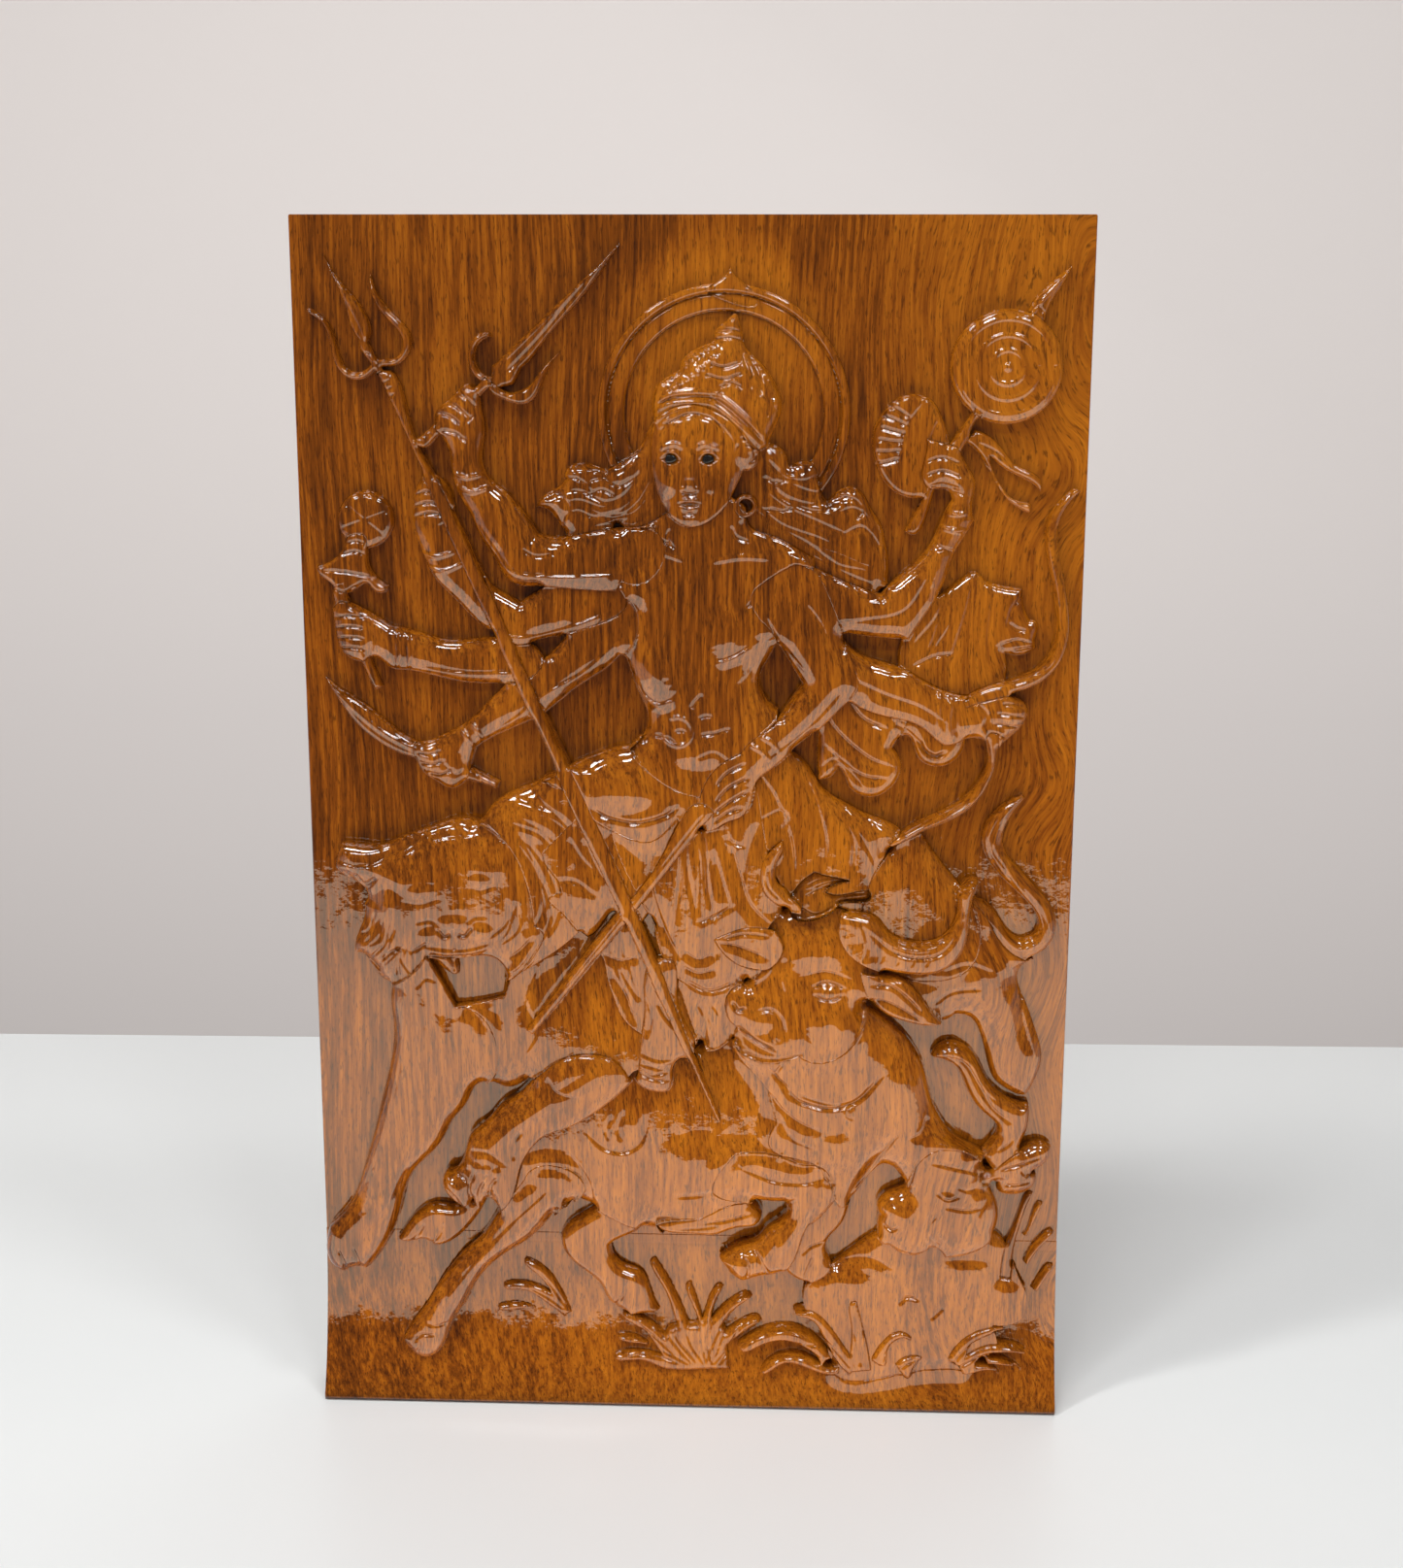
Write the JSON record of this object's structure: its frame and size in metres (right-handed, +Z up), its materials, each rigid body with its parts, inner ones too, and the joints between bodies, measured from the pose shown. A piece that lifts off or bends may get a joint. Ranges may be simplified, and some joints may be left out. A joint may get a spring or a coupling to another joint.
{
  "type": "carved wooden relief panel",
  "caption": "Free-standing carved and varnished wooden relief panel of a many-armed goddess riding a lion over a buffalo, with flat back and foot",
  "frame": {"origin": "centre of the box's footprint, on the surface the panel stands on", "axes": "+Z up the panel's height, +X to the viewer's right, carved face towards -Y, flat back towards +Y"},
  "size_m": [0.3, 0.03, 0.475],
  "materials": {
    "carved_wood": "gloss varnish",
    "eye_enamel": "gloss"
  },
  "bodies": {
    "root": {"axe": "carved_wood", "axe_arm": "carved_wood", "back_board": "carved_wood", "back_cloth": "carved_wood", "bow": "carved_wood", "bow_arm": "carved_wood", "buffalo_body": "carved_wood", "buffalo_ears": "carved_wood", "buffalo_far_foreleg": "carved_wood", "buffalo_far_leg": "carved_wood", "buffalo_foreleg": "carved_wood", "buffalo_head": "carved_wood", "buffalo_hind_leg": "carved_wood", "buffalo_horns": "carved_wood", "buffalo_neck": "carved_wood", "crown": "carved_wood", "dagger": "carved_wood", "dagger_arm": "carved_wood", "earring": "carved_wood", "eyes": "eye_enamel", "fallen_head": "carved_wood", "foot": "carved_wood", "foot_sill": "carved_wood", "grass_left": "carved_wood", "grass_middle": "carved_wood", "grass_right": "carved_wood", "hair_left": "carved_wood", "hair_right": "carved_wood", "halo": "carved_wood", "head": "carved_wood", "knee": "carved_wood", "lap": "carved_wood", "lion_body": "carved_wood", "lion_far_paw": "carved_wood", "lion_foreleg": "carved_wood", "lion_haunch": "carved_wood", "lion_head": "carved_wood", "lion_hind_leg": "carved_wood", "lion_mane": "carved_wood", "lion_raised_leg": "carved_wood", "lion_tail": "carved_wood", "mace_arm": "carved_wood", "mace_handle": "carved_wood", "mace_head": "carved_wood", "ribbons": "carved_wood", "scarf": "carved_wood", "shield": "carved_wood", "shield_spear": "carved_wood", "skirt_corner": "carved_wood", "skirt_front": "carved_wood", "skirt_right": "carved_wood", "spear_arm": "carved_wood", "spear_shaft": "carved_wood", "sword_arm": "carved_wood", "sword_blade": "carved_wood", "sword_hilt": "carved_wood", "torso": "carved_wood", "trident_arm": "carved_wood", "trident_head": "carved_wood", "trident_shaft": "carved_wood"}
  },
  "joints": []
}
